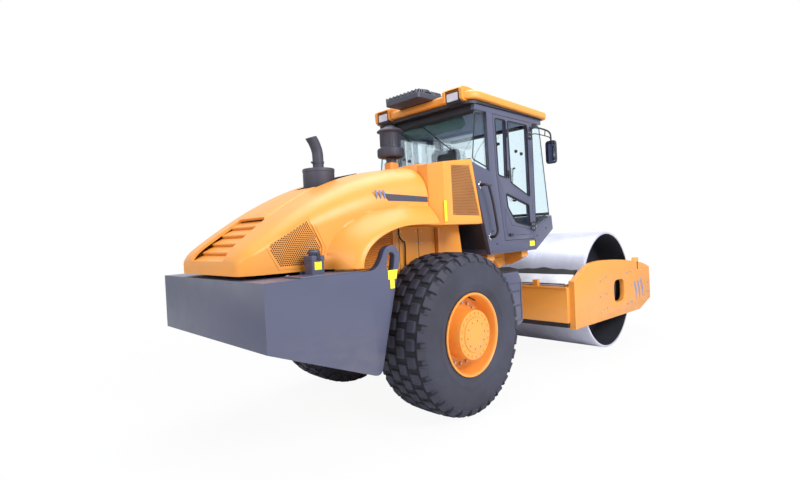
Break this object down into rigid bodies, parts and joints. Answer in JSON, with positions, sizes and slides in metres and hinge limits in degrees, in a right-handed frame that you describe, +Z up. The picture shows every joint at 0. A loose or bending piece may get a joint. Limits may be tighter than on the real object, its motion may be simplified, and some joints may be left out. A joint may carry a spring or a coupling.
{
  "type": "single-drum road roller",
  "caption": "Articulated road roller with one smooth steel drum, two rubber rear tyres, a glazed cab and a tilting engine hood.",
  "frame": {"origin": "on the ground, midway along the length and width", "axes": "+X forward towards the drum, +Y to the machine's left, +Z up"},
  "size_m": [6.58, 2.3, 3.33],
  "materials": {
    "orange_paint": "gloss",
    "grey_paint": "satin",
    "black_trim": "matt",
    "tyre_rubber": "matt",
    "drum_steel": "ground",
    "rod_chrome": "polished",
    "dark_iron": "satin",
    "pane_glass": "clear",
    "seat_fabric": "woven"
  },
  "bodies": {
    "rear_frame": {"chassis": "orange_paint", "rear_axle": "orange_paint", "counterweight": "grey_paint", "fuel_filler": "grey_paint", "engine_block": "dark_iron", "radiator": "black_trim", "exhaust_stack": "dark_iron", "rear_cowl": "orange_paint", "air_precleaner": "black_trim", "cab_floor": "grey_paint", "cab_rear_wall": "black_trim", "rear_glass": "pane_glass", "windscreen": "pane_glass", "cab_roof": "orange_paint", "ac_condenser": "grey_paint", "seat": "seat_fabric", "seat_base": "black_trim", "steering_column": "black_trim", "engine_side_panel_right": "orange_paint", "intake_pod_right": "orange_paint", "cab_side_right": "grey_paint", "handrail_right": "black_trim", "mirror_right": "black_trim", "step_box_right": "grey_paint", "engine_side_panel_left": "orange_paint", "intake_pod_left": "orange_paint", "cab_side_left": "grey_paint", "handrail_left": "black_trim", "mirror_left": "black_trim", "step_box_left": "grey_paint"},
    "hood_lid": {"hood": "orange_paint"},
    "door_leaf_right": {"door_right": "grey_paint", "door_glass_right": "pane_glass"},
    "rear_wheel_right": {"tyre_right": "tyre_rubber", "rim_right": "orange_paint"},
    "door_leaf_left": {"door_left": "grey_paint", "door_glass_left": "pane_glass"},
    "rear_wheel_left": {"tyre_left": "tyre_rubber", "rim_left": "orange_paint"},
    "hand_wheel": {"steering_wheel": "black_trim"},
    "knuckle": {"centre_knuckle": "orange_paint"},
    "front_frame": {"frame_side_right": "orange_paint", "frame_side_left": "orange_paint", "drum_carrier_right": "dark_iron", "drum_carrier_left": "dark_iron", "frame_beam_rear": "orange_paint", "frame_beam_front": "orange_paint", "drum_scraper": "black_trim"},
    "drum_roll": {"drum": "drum_steel"},
    "steer_cylinder_right": {"steer_barrel_right": "black_trim"},
    "steer_piston_right": {"steer_rod_right": "rod_chrome"},
    "steer_cylinder_left": {"steer_barrel_left": "black_trim"},
    "steer_piston_left": {"steer_rod_left": "rod_chrome"}
  },
  "joints": [
    {"name": "hood_tilt", "type": "hinge", "parent": "rear_frame", "child": "hood_lid", "pos_m": [-3.24, 0, 1.49], "axis": [0, -1, 0], "range_deg": [0, 50]},
    {"name": "door_right_swing", "type": "hinge", "parent": "rear_frame", "child": "door_leaf_right", "pos_m": [0.501, -0.7513, 2.295], "axis": [0, 0, 1], "range_deg": [0, 80]},
    {"name": "door_left_swing", "type": "hinge", "parent": "rear_frame", "child": "door_leaf_left", "pos_m": [0.501, 0.7513, 2.295], "axis": [0, 0, -1], "range_deg": [0, 80]},
    {"name": "rear_wheel_right_turn", "type": "hinge", "parent": "rear_frame", "child": "rear_wheel_right", "pos_m": [-1.31, -0.857, 0.76264], "axis": [0, 1, 0], "continuous": true},
    {"name": "rear_wheel_left_turn", "type": "hinge", "parent": "rear_frame", "child": "rear_wheel_left", "pos_m": [-1.31, 0.857, 0.76264], "axis": [0, 1, 0], "continuous": true},
    {"name": "hand_wheel_turn", "type": "hinge", "parent": "rear_frame", "child": "hand_wheel", "pos_m": [0.36, 0, 2.181], "axis": [-0.1168, 0, 0.9932], "continuous": true},
    {"name": "articulated_steering", "type": "hinge", "parent": "rear_frame", "child": "knuckle", "pos_m": [0.14, 0, 0.78], "axis": [0, 0, 1], "range_deg": [-35, 35]},
    {"name": "front_frame_rock", "type": "hinge", "parent": "knuckle", "child": "front_frame", "pos_m": [0.39, 0, 0.78], "axis": [1, 0, 0], "range_deg": [-10, 10]},
    {"name": "drum_turn", "type": "hinge", "parent": "front_frame", "child": "drum_roll", "pos_m": [1.89, 0, 0.80403], "axis": [0, 1, 0], "continuous": true},
    {"name": "steer_cylinder_right_swing", "type": "hinge", "parent": "rear_frame", "child": "steer_cylinder_right", "pos_m": [-0.54, -0.3, 0.78], "axis": [0, 0, 1], "range_deg": [-3, 3]},
    {"name": "steer_piston_right_slide", "type": "slide", "parent": "steer_cylinder_right", "child": "steer_piston_right", "axis": [0.9967, 0.0808, 0], "range_m": [-0.1425, 0.1425]},
    {"name": "steer_cylinder_left_swing", "type": "hinge", "parent": "rear_frame", "child": "steer_cylinder_left", "pos_m": [-0.54, 0.3, 0.78], "axis": [0, 0, 1], "range_deg": [-3, 3]},
    {"name": "steer_piston_left_slide", "type": "slide", "parent": "steer_cylinder_left", "child": "steer_piston_left", "axis": [0.9967, -0.0808, 0], "range_m": [-0.1425, 0.1425]}
  ],
  "couplings": [
    {"joint": "steer_cylinder_right_swing", "follows": "articulated_steering", "ratio": 0.0343},
    {"joint": "steer_piston_right_slide", "follows": "articulated_steering", "m_per_rad": 0.2311},
    {"joint": "steer_cylinder_left_swing", "follows": "articulated_steering", "ratio": 0.0343},
    {"joint": "steer_piston_left_slide", "follows": "articulated_steering", "m_per_rad": -0.2311}
  ]
}
